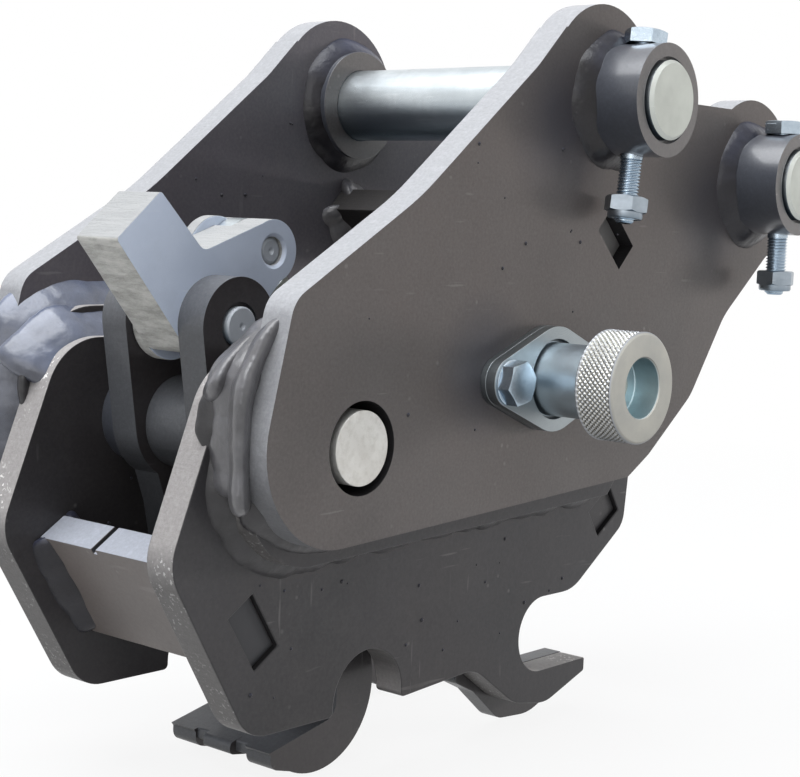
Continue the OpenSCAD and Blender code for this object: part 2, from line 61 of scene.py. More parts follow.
# ---- places, in metres from the middle of the stick pin: X to the rear, Y to the far side, Z up
STICK = Vector((0, 0, 0))
LINK = Vector((0.124948, 0, -0.032081))
PIVOT = Vector((-0.161, 0, -0.146))
LOCK = Vector((-0.0454, 0, -0.1232))
PLATE = 0.015                   # thickness of each plate
Y_INNER = 0.044                 # inner face of the lower plates
Y_SPACER = Y_INNER + PLATE      # where the lower plates meet the spacers
Y_UPPER = Y_SPACER + PLATE      # where the spacers meet the upper plates
Y_OUT = Y_UPPER + PLATE         # outer face of the upper plates
BOSS_R = 0.025
COLLAR_R = 0.027
BOLT_OUT = {"stick": 0.013, "link": 0.0175}     # from Y_OUT to the axis of each retaining bolt
FLANGE_OUT = 0.008              # from Y_OUT to the outer face of the lock's flange
FLANGE_HALF = 0.033             # from the lock's axis to each of the flange's screws
M10_ACROSS, M10_R = 0.017, 0.0050


def from_pivot(x, z):
    """A place given in millimetres from the hook's hinge."""
    return PIVOT + Vector((x * MM, 0, z * MM))


FRONT_SLOT = from_pivot(-26.6, -74.6)       # the middles of the slots that the ties sit in
REAR_SLOT = from_pivot(214.0, -50.5)
UPPER_SLOT = from_pivot(168.0, 84.6)
FRONT_LEAN, REAR_LEAN, UPPER_LEAN = -57, 34, -44.5      # how each tie lies in its slot, in degrees


# ---------------------------------------------------------------- shader groups
class Tree:
    """Short hand for wiring one node tree."""

    def __init__(self, tree):
        self.tree = tree

    def put(self, socket, value):
        """Links one socket to another, or sets its value; a colour is given as three numbers."""
        if isinstance(value, bpy.types.NodeSocket):
            self.tree.links.new(value, socket)
        elif socket.type == "RGBA":
            socket.default_value = (*value, 1.0)
        else:
            socket.default_value = value

    def node(self, kind, sockets=(), **settings):
        n = self.tree.nodes.new("ShaderNode" + kind)
        for key, value in settings.items():
            setattr(n, key, value)
        for key, value in dict(sockets).items():
            self.put(n.inputs[key], value)
        return n

    def math(self, operation, a, b=None):
        sockets = {0: a} if b is None else {0: a, 1: b}
        return self.node("Math", sockets, operation=operation).outputs[0]

    def times(self, a, b):
        return self.math("MULTIPLY", a, b)

    def plus(self, a, b):
        return self.math("ADD", a, b)

    def most(self, a, b):
        return self.math("MAXIMUM", a, b)

    def part(self, vector, letter):
        return self.node("SeparateXYZ", {0: vector}).outputs[letter]

    def length(self, vector):
        return self.node("VectorMath", {0: vector}, operation="LENGTH").outputs["Value"]

    def scale(self, vector, factor):
        return self.node("VectorMath", {0: vector, "Scale": factor}, operation="SCALE").outputs[0]

    def stretch(self, vector, scale, rotation=(0, 0, 0)):
        sockets = {"Vector": vector, "Rotation": rotation, "Scale": scale}
        return self.node("Mapping", sockets).outputs[0]

    def noise(self, vector, scale, detail, rough=0.55):
        return self.node("TexNoise", {"Vector": vector, "Scale": scale, "Detail": detail,
                                      "Roughness": rough}).outputs["Fac"]

    def step(self, value, low, high):
        """0 at low, 1 at high, and held beyond them."""
        sockets = {"Value": value, "From Min": low, "From Max": high}
        return self.node("MapRange", sockets).outputs["Result"]

    def mix(self, factor, a, b):
        """Between two colours."""
        return self.node("Mix", {"Factor": factor, 6: a, 7: b}, data_type="RGBA").outputs[2]

    def blend(self, factor, a, b):
        """Between two numbers."""
        return self.node("Mix", {0: factor, 2: a, 3: b}, data_type="FLOAT").outputs[0]

    def lay(self, colour, mask, amount, tint):
        """A tint laid over a colour where the mask is 1, as strongly as the amount."""
        return self.mix(self.times(mask, amount), colour, tint)

    def group(self, tree, sockets):
        n = self.tree.nodes.new("ShaderNodeGroup")
        n.node_tree = tree
        for key, value in sockets.items():
            self.put(n.inputs[key], value)
        return n.outputs


def group(name, inputs, outputs):
    """A new node group, from (label, kind, value) of its inputs and the labels of its outputs."""
    g = bpy.data.node_groups.new(name, "ShaderNodeTree")
    for label, kind, value in inputs:
        socket = g.interface.new_socket(name=label, in_out="INPUT", socket_type="NodeSocket" + kind)
        if value is not None:
            socket.default_value = value
    for label in outputs:
        g.interface.new_socket(name=label, in_out="OUTPUT", socket_type="NodeSocketFloat")
    return Tree(g), g.nodes.new("NodeGroupInput").outputs, g.nodes.new("NodeGroupOutput").inputs


ALONG_Y = (0.0, 1.0, 0.0)
PLACE = ("Vector", "Vector", None)


def cut_edge_group():
    """Finds the flame-cut edges of a plate, whose faces lie across Axis, and their drag lines."""
    t, i, o = group("cut_edge", [PLACE, ("Normal", "Vector", None), ("Axis", "Vector", ALONG_Y)],
                    ["Edge", "Height", "Upward"])
    dot = t.node("VectorMath", {0: i["Normal"], 1: i["Axis"]}, operation="DOT_PRODUCT")
    facing = t.math("ABSOLUTE", dot.outputs["Value"])
    sideways = t.math("ABSOLUTE", t.part(i["Normal"], "Y"))
    edge = t.step(t.most(facing, sideways), 0.75, 0.35)
    lines = t.noise(t.stretch(i["Vector"], (1.0, 0.10, 1.0)), 620.0, 3.0, 0.6)
    grit = t.noise(i["Vector"], 900.0, 3.0, 0.7)
    t.put(o["Edge"], edge)
    t.put(o["Height"], t.times(edge, t.plus(t.times(lines, 0.7), t.times(grit, 0.5))))
    t.put(o["Upward"], t.step(t.part(i["Normal"], "Z"), -0.85, 0.15))
    return t.tree


def skin_group():
    """The skin of sprayed paint: soft dimples, with dust nibs here and there."""
    t, i, o = group("paint_skin", [PLACE, ("Dimple", "Float", 1.0), ("Nibs", "Float", 1.0)],
                    ["Height", "Nib"])
    dimple = t.times(t.noise(i["Vector"], 260.0, 2.0, 0.5), i["Dimple"])
    slow = t.times(t.noise(i["Vector"], 45.0, 3.0, 0.5), 1.6)
    cells = t.node("TexVoronoi", {"Vector": i["Vector"], "Scale": 130.0, "Randomness": 1.0},
                   feature="F1")
    pick = t.step(t.noise(i["Vector"], 38.0, 1.0), 0.60, 0.66)
    nib = t.times(t.step(cells.outputs["Distance"], 0.16, 0.05), pick)
    t.put(o["Height"], t.plus(t.plus(dimple, slow), t.times(nib, i["Nibs"])))
    t.put(o["Nib"], nib)
    return t.tree


def scuff_group():
    """Thin scratches and rubbed patches."""
    t, i, o = group("scuffs", [PLACE, ("Scale", "Float", 1.0)], ["Scratch", "Rub"])
    v = t.scale(i["Vector"], i["Scale"])
    marks = None
    for angle, stretch in ((0.5, (22, 22, 260)), (-0.9, (240, 22, 22)), (1.9, (24, 24, 300))):
        fibre = t.noise(t.stretch(v, stretch, (0, angle, 0)), 1.0, 2.0, 0.6)
        where = t.noise(v, 19.0 + 3 * angle, 2.0)
        line = t.times(t.step(fibre, 0.690, 0.735), t.step(where, 0.50, 0.62))
        marks = line if marks is None else t.most(marks, line)
    t.put(o["Scratch"], marks)
    t.put(o["Rub"], t.step(t.noise(v, 24.0, 6.0, 0.7), 0.52, 0.75))
    return t.tree


def drift_group():
    """Slow drift of a colour, for dust, handling and uneven coats, and a fine grain."""
    t, i, o = group("drift", [PLACE, ("Scale", "Float", 12.0)], ["Tone", "Grain"])
    v = t.scale(i["Vector"], i["Scale"])
    t.put(o["Tone"], t.step(t.noise(v, 1.0, 5.0, 0.6), 0.32, 0.68))
    t.put(o["Grain"], t.noise(v, 90.0, 3.0, 0.7))
    return t.tree


def bore_group():
    """The distance from an axis along Y through Centre, and 1 where it is less than Radius."""
    t, i, o = group("bore", [PLACE, ("Centre", "Vector", (0.0, 0.0, 0.0)), ("Radius", "Float", 0.02)],
                    ["Inside", "Distance"])
    away = t.node("VectorMath", {0: i["Vector"], 1: i["Centre"]}, operation="SUBTRACT").outputs[0]
    flat = t.node("VectorMath", {0: away, 1: (1.0, 0.0, 1.0)}, operation="MULTIPLY").outputs[0]
    distance = t.length(flat)
    t.put(o["Inside"], t.math("LESS_THAN", distance, i["Radius"]))
    t.put(o["Distance"], distance)
    return t.tree


CUT_EDGE, SKIN, SCUFFS = cut_edge_group(), skin_group(), scuff_group()
DRIFT, BORE = drift_group(), bore_group()


# ---------------------------------------------------------------- materials
def new_material(name, metallic=0.0, ior=1.5, coat=0.0):
    """A material, its tree, its shader's inputs, and the place and normal in the object's frame."""
    m = bpy.data.materials.new(name)
    m.use_nodes = True
    t = Tree(m.node_tree)
    shader = m.node_tree.nodes["Principled BSDF"].inputs
    shader["Metallic"].default_value = metallic
    shader["IOR"].default_value = ior
    shader["Coat Weight"].default_value = coat
    coords = t.node("TexCoord").outputs
    return m, t, shader, coords["Object"], coords["Normal"]


def relief(t, shader, height, distance):
    bump = t.node("Bump", {"Height": height, "Distance": distance, "Strength": 1.0})
    t.put(shader["Normal"], bump.outputs["Normal"])


def drift(t, place, scale):
    out = t.group(DRIFT, {"Vector": place, "Scale": scale})
    return out["Tone"], out["Grain"]


def scuffs(t, place, scale):
    out = t.group(SCUFFS, {"Vector": place, "Scale": scale})
    return out["Scratch"], out["Rub"]


def paint_skin(t, place, dimple, nibs):
    out = t.group(SKIN, {"Vector": place, "Dimple": dimple, "Nibs": nibs})
    return out["Height"], out["Nib"]


def tinted(colour, red, green, blue):
    return colour[0] * red, colour[1] * green, colour[2] * blue


def brighter(colour, factor):
    return tuple(min(1.0, v * factor) for v in colour)


# near-black laid on the walls inside holes, as painted shade
HOLE_SHADE = (0.014, 0.013, 0.014)
# a bluish dark for soft painted cast shadows on the plate
PAINTED_SHADOW = (0.026, 0.027, 0.037)
DUST, CHALK = (0.30, 0.28, 0.27), (0.30, 0.29, 0.28)
RUBBED, PALE_NIB = (0.17, 0.16, 0.15), (0.42, 0.41, 0.39)


def plate_paint(name, face, edge, rough, axis=ALONG_Y, sheen=0.32, coat=0.0, drag=1.5, grain=0.10,
                under=0.30, chipped=0.0, holes=(), painted_shadows=(), tenon=None):
    """Sprayed paint on a plate; face and edge are each a dark and a light colour.

    The cut edges are darker by the factor under where they face down, as painted shade, and the
    walls inside the holes, given as (centre, radius), are painted black as shade. Soot gives soft
    painted cast shadows, each (centre, radius where it is full, radius where it ends). A tenon has
    its own colour on the ends that face along Y."""
    m, t, shader, place, normal = new_material(name, ior=1.52, coat=coat)
    shader["Specular IOR Level"].default_value = sheen
    shader["Coat Roughness"].default_value = 0.16
    cut = t.group(CUT_EDGE, {"Vector": place, "Normal": normal, "Axis": axis})
    skin, nib = paint_skin(t, place, 1.0, 1.2)
    scratch, rub = scuffs(t, place, 1.0)
    tone, dust = drift(t, place, 8.0)
    cast, _ = drift(t, place, 5.0)
    colour = t.mix(tone, *face)
    colour = t.lay(colour, cast, 0.60, tinted(face[1], 0.92, 0.78, 0.72))
    colour = t.lay(colour, t.step(dust, 0.35, 0.75), grain, DUST)
    colour = t.lay(colour, scratch, 0.16, CHALK)
    colour = t.lay(colour, rub, 0.08, RUBBED)
    colour = t.lay(colour, nib, 0.12, PALE_NIB)
    if tenon:
        sideways = t.math("ABSOLUTE", t.part(normal, "Y"))
        colour = t.mix(t.step(sideways, 0.85, 0.95), colour, tenon)
    # painted shadows: soft dark clouds laid where the bosses and the lock cast shade
    for centre, full, end in painted_shadows:
        distance = t.group(BORE, {"Vector": place, "Centre": tuple(centre)})["Distance"]
        colour = t.lay(colour, t.step(distance, end, full), t.blend(tone, 0.50, 0.85), PAINTED_SHADOW)
    speck = t.step(t.noise(place, 330.0, 4.0, 0.65), 0.52, 0.72)
    rim = t.lay(t.mix(dust, *edge), speck, 0.18, brighter(edge[1], 1.5))
    if chipped:
        flakes = t.step(t.noise(place, 620.0, 2.0, 0.5), 0.60, 0.66)
        where = t.step(t.noise(place, 30.0, 2.0, 0.5), 0.54, 0.62)
        rim = t.lay(rim, t.times(flakes, where), chipped, brighter(edge[1], 2.4))
    # painted shade: the cut edges darken where they face down, to the factor under
    rim = t.scale(rim, t.blend(t.step(t.part(normal, "Z"), -0.55, 0.45), under, 1.0))
    # the walls inside the holes are painted black, as painted shade
    for centre, radius in holes:
        bore = t.group(BORE, {"Vector": place, "Centre": tuple(centre), "Radius": radius})
        rim = t.mix(bore["Inside"], rim, HOLE_SHADE)
    t.put(shader["Base Color"], t.mix(cut["Edge"], colour, rim))
    face_rough, rim_rough = t.blend(rub, rough, rough + 0.12), 0.50 if drag else rough
    t.put(shader["Roughness"], t.blend(cut["Edge"], face_rough, rim_rough))
    relief(t, shader, t.plus(t.times(skin, 0.45), t.times(cut["Height"], drag)), 0.00014)
    return m


def weld_metal(name, low, high, scale, coat=0.4, rough=0.20, gloss=0.4, top_highlight=0.9):
    """Glossy paint over weld, with the colour scale laid on as a painted highlight, strongest where
    it faces up.
    """
    m, t, shader, place, normal = new_material(name, coat=coat)
    shader["Specular IOR Level"].default_value = gloss
    shader["Coat Roughness"].default_value = rough
    tone, grain = drift(t, place, 60.0)
    skin, _ = paint_skin(t, place, 1.0, 0.6)
    slow, _ = drift(t, place, 22.0)
    top = t.step(t.part(normal, "Z"), 0.0, 0.8)
    # painted highlight: the scale colour is laid on most where the weld faces up
    colour = t.lay(t.mix(tone, low, high), slow, t.blend(top, 0.08, top_highlight), scale)
    colour = t.lay(colour, t.step(grain, 0.62, 0.8), 0.35, (0.20, 0.21, 0.24))
    t.put(shader["Base Color"], colour)
    t.put(shader["Roughness"], t.blend(grain, rough, rough + 0.26))
    relief(t, shader, skin, 0.0004)
    return m


def zinc_plate(name, low, high, rough, end=None, metallic=1.0):
    """Zinc plate, greyer underneath as painted shade; ends that face along Y may have a duller colour
    of their own.
    """
    m, t, shader, place, normal = new_material(name, metallic=metallic)
    tone, grain = drift(t, place, 45.0)
    scratch, rub = scuffs(t, place, 2.4)
    sides = t.group(CUT_EDGE, {"Vector": place, "Normal": normal})
    colour = t.lay(t.mix(tone, low, high), scratch, 0.5, (0.86, 0.88, 0.90))
    colour = t.lay(colour, rub, 0.4, brighter(low, 0.6))
    streak = t.noise(t.stretch(place, (140.0, 9.0, 140.0)), 1.0, 3.0, 0.6)
    colour = t.lay(colour, t.step(streak, 0.45, 0.7), 0.35, brighter(high, 1.25))
    # painted shade: where it faces down the zinc is laid over with a greyer blue
    colour = t.mix(sides["Upward"], tinted(low, 0.42, 0.52, 0.60), colour)
    finish = t.blend(grain, rough - 0.06, rough + 0.16)
    if end:
        colour = t.mix(sides["Edge"], t.mix(tone, end, brighter(end, 0.82)), colour)
        finish = t.blend(sides["Edge"], 0.55, finish)
    t.put(shader["Base Color"], colour)
    t.put(shader["Roughness"], finish)
    relief(t, shader, t.plus(grain, scratch), 0.00006)
    return m


def turned_zinc(name, radii, colours, rough):
    """Zinc on the lock's turned parts, with tool rings, a colour for each band of radius and painted
    shade underneath.
    """
    m, t, shader, place, normal = new_material(name, metallic=1.0)
    radius = t.group(BORE, {"Vector": place, "Centre": tuple(LOCK)})["Distance"]
    tone, grain = drift(t, place, 55.0)
    colour = t.mix(t.step(radius, radii[0] - 0.0002, radii[0] + 0.0002), colours[0], colours[1])
    colour = t.mix(t.step(radius, radii[1] - 0.0002, radii[1] + 0.0002), colour, colours[2])
    colour = t.lay(colour, tone, 0.35, brighter(colours[2], 0.62))
    # painted shade: darker where it faces down
    colour = t.scale(colour, t.blend(t.step(t.part(normal, "Z"), -0.75, 0.30), 0.42, 1.0))
    rings = t.math("SINE", t.times(radius, 9000.0))
    t.put(shader["Base Color"], colour)
    t.put(shader["Roughness"], t.blend(grain, rough - 0.06, rough + 0.14))
    relief(t, shader, t.plus(t.times(rings, 0.25), grain), 0.00006)
    return m


def faced_steel():
    """Faced steel with tool marks and rust-brown specks."""
    m, t, shader, place, _ = new_material("faced_steel", metallic=0.55)
    tone, grain = drift(t, place, 40.0)
    speck = t.step(t.noise(place, 340.0, 4.0, 0.7), 0.46, 0.72)
    colour = t.mix(tone, (0.52, 0.50, 0.47), (0.68, 0.67, 0.64))
    t.put(shader["Base Color"], t.lay(colour, speck, 0.40, (0.38, 0.36, 0.32)))
    t.put(shader["Roughness"], t.blend(grain, 0.42, 0.62))
    relief(t, shader, t.plus(speck, grain), 0.00010)
    return m


def lever_steel():
    """Pale blued faces, with browner saw-cut edges that are plainer where they face up."""
    m, t, shader, place, normal = new_material("blued_lever", metallic=0.15)
    cut = t.group(CUT_EDGE, {"Vector": place, "Normal": normal})
    tone, grain = drift(t, place, 26.0)
    scratch, rub = scuffs(t, place, 1.6)
    face = t.mix(tone, (0.50, 0.56, 0.68), (0.60, 0.66, 0.78))
    face = t.lay(face, t.step(grain, 0.4, 0.7), 0.4, (0.54, 0.60, 0.70))
    face = t.lay(face, scratch, 0.25, (0.74, 0.77, 0.80))
    face = t.lay(face, rub, 0.2, (0.30, 0.33, 0.38))
    streaks = t.noise(t.stretch(place, (230.0, 60.0, 230.0)), 1.0, 5.0, 0.75)
    rim = t.mix(t.step(streaks, 0.38, 0.62), (0.25, 0.245, 0.225), (0.50, 0.49, 0.46))
    rim = t.lay(rim, t.step(grain, 0.35, 0.65), 0.4, (0.42, 0.41, 0.39))
    rim = t.lay(rim, t.step(t.part(normal, "Z"), 0.2, 0.6), 0.75, (0.37, 0.375, 0.385))
    t.put(shader["Base Color"], t.mix(cut["Edge"], face, rim))
    t.put(shader["Roughness"], t.blend(cut["Edge"], 0.42, 0.6))
    relief(t, shader, t.plus(t.times(cut["Height"], 3.2), t.times(grain, 0.25)), 0.00022)
    return m


def smooth_coat(name, low, high, rough, ior=1.5, dimpled=False):
    """Plain enamel or plastic."""
    m, t, shader, place, _ = new_material(name, ior=ior)
    tone, grain = drift(t, place, 30.0 if dimpled else 60.0)
    t.put(shader["Base Color"], t.mix(tone, low, high))
    t.put(shader["Roughness"], t.blend(grain, *rough))
    if dimpled:
        relief(t, shader, paint_skin(t, place, 0.6, 0.5)[0], 0.00006)
    return m


CUT_GREY = ((0.27, 0.27, 0.28), (0.46, 0.46, 0.48))
UPPER_HOLES = ((PIVOT, 0.0216), (UPPER_SLOT, 0.017))
# the near upper plate has soft painted shadows left of and below the bosses and the lock
WARM = plate_paint("umber_plate_paint", ((0.055, 0.050, 0.049), (0.087, 0.079, 0.077)),
                   CUT_GREY, 0.40, holes=UPPER_HOLES,
                   painted_shadows=((STICK + Vector((-0.038, 0, -0.012)), 0.010, 0.042),
                         (LINK + Vector((-0.036, 0, -0.012)), 0.010, 0.040),
                         (LOCK + Vector((-0.040, 0, 0.006)), 0.008, 0.034)))
# the same umber paint, bluer on the far plates, as a painted sky reflection
WARM_FAR_SKY_REFLECTION = plate_paint("umber_plate_paint_far_sky_reflection", ((0.056, 0.054, 0.063), (0.086, 0.083, 0.098)),
                       CUT_GREY, 0.40, holes=UPPER_HOLES)
COOL = plate_paint("charcoal_plate_paint", ((0.018, 0.018, 0.020), (0.033, 0.032, 0.035)),
                   ((0.23, 0.215, 0.210), (0.43, 0.405, 0.395)), 0.40,
                   grain=0.04, under=0.22, chipped=0.8,
                   holes=((PIVOT, 0.0216), (FRONT_SLOT, 0.0166), (REAR_SLOT, 0.0134)))
FRONT_TIE = plate_paint("front_tie_paint", ((0.075, 0.067, 0.063), (0.120, 0.108, 0.102)),
                        ((0.30, 0.31, 0.35), (0.44, 0.46, 0.52)), 0.42,
                        axis=(0.8387, 0.0, 0.5446), tenon=(0.027, 0.027, 0.030))
# the tenon's end is painted lighter than the plate, as painted light against the shade in its recess
UPPER_TIE = plate_paint("upper_tie_paint", ((0.060, 0.052, 0.050), (0.094, 0.082, 0.079)),
                        ((0.030, 0.028, 0.028), (0.050, 0.046, 0.045)), 0.42,
                        tenon=(0.13, 0.125, 0.12))
BOSS = plate_paint("charcoal_boss_paint", ((0.040, 0.037, 0.037), (0.066, 0.060, 0.060)),
                   ((0.042, 0.045, 0.055), (0.086, 0.092, 0.112)), 0.32,
                   sheen=0.5, coat=0.6, drag=0.0, under=0.6)
DARK = plate_paint("hook_paint", ((0.021, 0.020, 0.022), (0.036, 0.034, 0.037)),
                   ((0.068, 0.070, 0.078), (0.140, 0.144, 0.156)), 0.38, grain=0.04, coat=0.25)
WELD = weld_metal("painted_weld", (0.008, 0.007, 0.008), (0.020, 0.018, 0.020), (0.080, 0.090, 0.150),
                  coat=0.10, gloss=0.28, top_highlight=0.5)
DARK_FILLET = weld_metal("dark_fillet", (0.016, 0.015, 0.016), (0.032, 0.030, 0.032),
                         (0.050, 0.050, 0.054), coat=0.1, rough=0.28)
FILLET = weld_metal("painted_fillet", (0.062, 0.060, 0.062), (0.125, 0.121, 0.126),
                    (0.20, 0.20, 0.225))
# a bluer, glossier copy of the weld paint, as a painted sky reflection
BLUE_WELD = weld_metal("weld_sky_reflection", (0.035, 0.036, 0.045), (0.095, 0.100, 0.125),
                       (0.15, 0.18, 0.27), coat=0.6, rough=0.17)
ZINC = zinc_plate("bright_zinc", (0.50, 0.55, 0.58), (0.66, 0.71, 0.74), 0.26, end=(0.58, 0.60, 0.56))
BOLT_ZINC = zinc_plate("bolt_zinc", (0.43, 0.51, 0.59), (0.59, 0.67, 0.74), 0.20)
DULL_ZINC = zinc_plate("dull_zinc", (0.28, 0.32, 0.36), (0.44, 0.49, 0.54), 0.28)
PIN_STEEL = zinc_plate("pin_steel", (0.42, 0.46, 0.50), (0.58, 0.62, 0.66), 0.34,
                       end=(0.48, 0.51, 0.55), metallic=0.3)
# the pale blue inside the bore is a painted reflection
KNOB_ZINC = turned_zinc("knob_zinc", (0.0129, 0.0233),
                        ((0.66, 0.84, 0.90), (0.55, 0.54, 0.49), (0.44, 0.46, 0.49)), 0.40)
# the dark middle band, round the barrel where it meets the pad, is painted shade of the gap
BARREL_ZINC = turned_zinc("barrel_zinc", (0.0163, 0.0176),
                          ((0.76, 0.90, 1.0), (0.10, 0.11, 0.12), (0.42, 0.46, 0.48)), 0.30)
STEEL = faced_steel()
LEVER = lever_steel()
ENAMEL = smooth_coat("strut_enamel", (0.012, 0.012, 0.013), (0.035, 0.034, 0.033), (0.28, 0.5),
                     dimpled=True)
NYLON = smooth_coat("nut_nylon", (0.62, 0.66, 0.70), (0.74, 0.77, 0.80), (0.45, 0.6), ior=1.45)

# ---- by the start of a node's name; the longest start that fits is taken
FINISH = {
    "upper_plate": WARM, "upper_plate_far": WARM_FAR_SKY_REFLECTION, "spacer": COOL, "lower_plate": COOL,
    "front_tie": FRONT_TIE, "rear_tie": COOL, "upper_tie": UPPER_TIE, "jaw_doubler": DARK,
    "stick_boss": BOSS, "link_boss": BOSS, "stick_collar": BOSS, "link_collar": BOSS,
    "stick_pin": ZINC, "link_pin": ZINC, "pivot_pin": STEEL, "pivot_ring": BOSS,
    "anchor_stud": DULL_ZINC, "anchor_sleeve": BOSS,
    "lock_pad": BARREL_ZINC, "lock_barrel": BARREL_ZINC,
    "hook_": DARK, "toe_block": DARK, "lever_block": LEVER, "lever_side_plate": LEVER,
    "lever_pin": PIN_STEEL, "clevis_pin": PIN_STEEL, "strut_cylinder": ENAMEL, "strut_gland": ZINC,
    "strut_rod": ZINC, "plunger": ZINC, "pull_knob": KNOB_ZINC, "stick_bolt": BOLT_ZINC,
    "link_bolt": BOLT_ZINC, "stick_nut": DULL_ZINC, "link_nut": DULL_ZINC, "flange_bolt": BOLT_ZINC,
}
ROUNDING = {    # in millimetres
    "": 0.35, "upper_plate": 0.7, "lower_plate": 0.7, "spacer": 0.6, "lever_block": 0.9,
    "lever_side_plate": 0.7, "hook_cheek": 0.6, "front_tie": 0.5, "rear_tie": 0.5, "upper_tie": 0.5,
    "toe_block": 3.0, "lock_pad": 0.15, "lock_barrel": 0.25,
}


def look_up(table, name):
    return table[max((k for k in table if name.startswith(k)), key=len)]


def dress(name, obj):
    """Gives a solid its finish and breaks its sharp edges."""
    obj.data.materials.clear()
    obj.data.materials.append(look_up(FINISH, name))
    for p in obj.data.polygons:
        p.use_smooth = True
    join = obj.modifiers.new("join", "WELD")
    join.merge_threshold = 0.00001
    flats = obj.modifiers.new("flats", "DECIMATE")
    flats.decimate_type = "DISSOLVE"
    flats.angle_limit = math.radians(0.6)
    soften = obj.modifiers.new("broken_edges", "BEVEL")
    soften.width = look_up(ROUNDING, name) * MM
    soften.segments = 2
    soften.limit_method = "ANGLE"
    soften.angle_limit = math.radians(32)
    soften.miter_outer = "MITER_SHARP"
    shading = obj.modifiers.new("flat_faces", "WEIGHTED_NORMAL")
    shading.mode = "FACE_AREA"
    shading.weight = 100


for node_name, node_object in nodes.items():
    dress(node_name, node_object)


# ---------------------------------------------------------------- pieces
def finish_piece(name, bm, material, body, node=None, smooth=40):
    """Makes an object of a bmesh, riding on a body and standing in for a node if one is named."""
    bmesh.ops.remove_doubles(bm, verts=bm.verts, dist=0.000002)
    bmesh.ops.recalc_face_normals(bm, faces=bm.faces)
    mesh = bpy.data.meshes.new(name)
    bm.to_mesh(mesh)
    bm.free()
    mesh.materials.append(material)
    for p in mesh.polygons:
        p.use_smooth = True
    mesh.set_sharp_from_angle(angle=math.radians(smooth))
    obj = bpy.data.objects.new(name, mesh)
    scene.collection.objects.link(obj)
    if node:
        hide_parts(node)
    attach(obj, body)


def lathe(profile, steps=64):
    """A closed solid of revolution about Z, from (radius, along) points."""
    bm = bmesh.new()
    verts = [bm.verts.new(Vector((r, 0, z))) for r, z in profile]
    edges = [bm.edges.new((a, b)) for a, b in zip(verts, verts[1:])]
    bmesh.ops.spin(bm, geom=verts + edges, cent=(0, 0, 0), axis=(0, 0, 1), angle=2 * math.pi,
                   steps=steps, use_merge=True)
    bmesh.ops.remove_doubles(bm, verts=bm.verts, dist=0.000004)
    return bm


def rod(radius, low, high, steps):
    return lathe([(0, low), (radius, low), (radius, high), (0, high)], steps)


def merge_into(target, source):
    mesh = bpy.data.meshes.new("part")
    source.to_mesh(mesh)
    source.free()
    target.from_mesh(mesh)
    bpy.data.meshes.remove(mesh)


def common_part(solid, tool):
    """What two bmeshes share, as a bmesh."""
    objs = []
    for b in (solid, tool):
        bmesh.ops.recalc_face_normals(b, faces=b.faces)
        mesh = bpy.data.meshes.new("blank")
        b.to_mesh(mesh)
        b.free()
        o = bpy.data.objects.new("blank", mesh)
        scene.collection.objects.link(o)
        objs.append(o)
    cut = objs[0].modifiers.new("cut", "BOOLEAN")
    cut.operation = "INTERSECT"
    cut.solver = "EXACT"
    cut.object = objs[1]
    bpy.context.view_layer.update()
    result = bmesh.new()
    result.from_object(objs[0], bpy.context.evaluated_depsgraph_get())
    for o in objs:
        mesh = o.data
        bpy.data.objects.remove(o)
        bpy.data.meshes.remove(mesh)
    return result


def hexagon(across, height, z=0.0):
    bm = bmesh.new()
    r = across / math.sqrt(3)
    bmesh.ops.create_cone(bm, cap_ends=True, segments=6, radius1=r, radius2=r, depth=height,
                          matrix=Matrix.Translation((0, 0, z + height / 2)))
    return bm


def hex_head(across, height):
    """A bolt head with the corners of its crown turned off."""
    reach = across / math.sqrt(3) + 0.001
    crown = lathe([(0, 0), (reach, 0), (reach, height - 0.0009), (across * 0.475, height),
                   (0, height)], 72)
    return common_part(hexagon(across, height), crown)


def thread(r, pitch, length, z0, steps=28):
    """A helical thread along local Z from z0, with its root sunk in the core it is merged with."""
    turns = int(length / pitch)
    core, flank = r - 0.61 * pitch, r - 0.02 * pitch
    bm = bmesh.new()
    profile = [(core, 0), (flank, 0.40 * pitch), (r, 0.47 * pitch), (r, 0.53 * pitch),
               (flank, 0.60 * pitch), (core, pitch)]
    verts = [bm.verts.new((a, 0, z0 + z)) for a, z in profile]
    edges = [bm.edges.new((a, b)) for a, b in zip(verts, verts[1:])]
    bmesh.ops.spin(bm, geom=verts + edges, cent=(0, 0, 0), axis=(0, 0, 1), dvec=(0, 0, pitch / steps),
                   angle=2 * math.pi * turns, steps=steps * turns)
    bmesh.ops.remove_doubles(bm, verts=bm.verts, dist=0.00001)
    return bm


def placement(at, z_axis, x_axis=(1, 0, 0)):
    """The matrix that puts local Z along z_axis, and local X as near x_axis as it can."""
    z = Vector(z_axis).normalized()
    x = (Vector(x_axis) - z * Vector(x_axis).dot(z)).normalized()
    y = z.cross(x)
    m = Matrix((x, y, z)).transposed().to_4x4()
    m.translation = Vector(at)
    return m


